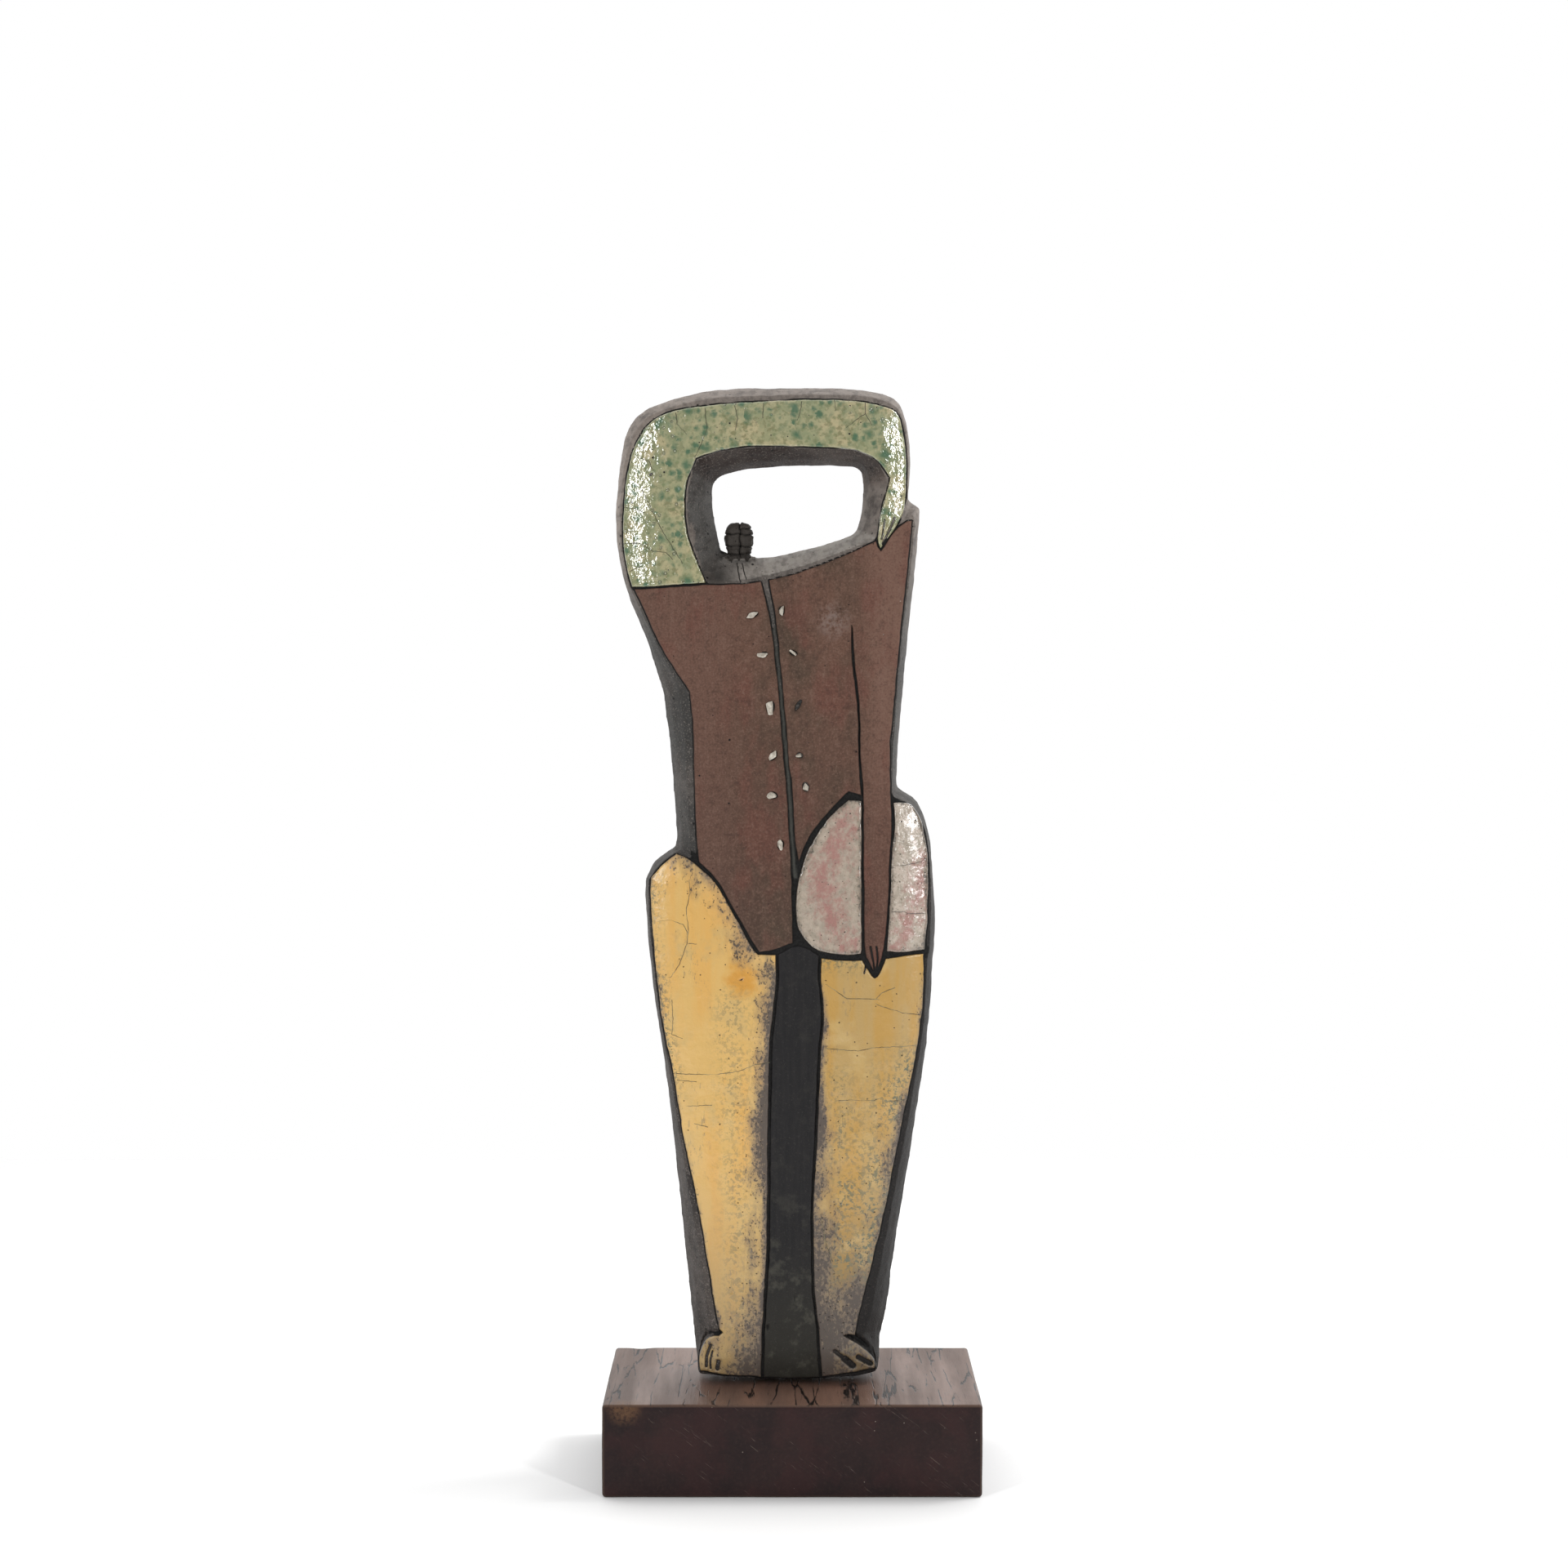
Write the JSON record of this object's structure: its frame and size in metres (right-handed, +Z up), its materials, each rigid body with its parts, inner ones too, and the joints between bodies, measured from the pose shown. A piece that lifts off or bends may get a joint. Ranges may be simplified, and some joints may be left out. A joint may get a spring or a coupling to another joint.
{
  "type": "ceramic female sculpture",
  "caption": "Flat standing woman in smoke-fired clay with a glazed arm arched over a small head, slip jacket, yellow legs and chip buttons, on a wooden plinth.",
  "frame": {"origin": "middle of the plinth's underside", "axes": "+Z up, the figure's face looks along -Y, +X to the viewer's right"},
  "size_m": [0.188, 0.12, 0.5502],
  "materials": {
    "fired_clay": "bare grogged clay, smoke blackened, matte",
    "green_glaze": "glossy crackle glaze, pale green with copper green spots",
    "brown_slip": "matte red-brown brushed slip",
    "pink_glaze": "satin greyish white crackle glaze with pink stains",
    "yellow_glaze": "satin yellow crackle glaze, smoked along its inner edges",
    "black_slip": "smooth blue-black matte slip",
    "white_chip": "broken white flint",
    "dark_wood": "dark stained and waxed, fine grain with scratches"
  },
  "bodies": {
    "root": {"plinth": "dark_wood", "figure": "fired_clay", "button_chip_left_1": "white_chip", "button_chip_left_2": "white_chip", "button_chip_left_3": "white_chip", "button_chip_left_4": "white_chip", "button_chip_left_5": "white_chip", "button_chip_left_6": "white_chip", "button_chip_right_1": "white_chip", "button_chip_right_2": "white_chip", "button_chip_right_4": "white_chip", "button_chip_right_5": "white_chip"}
  },
  "joints": []
}
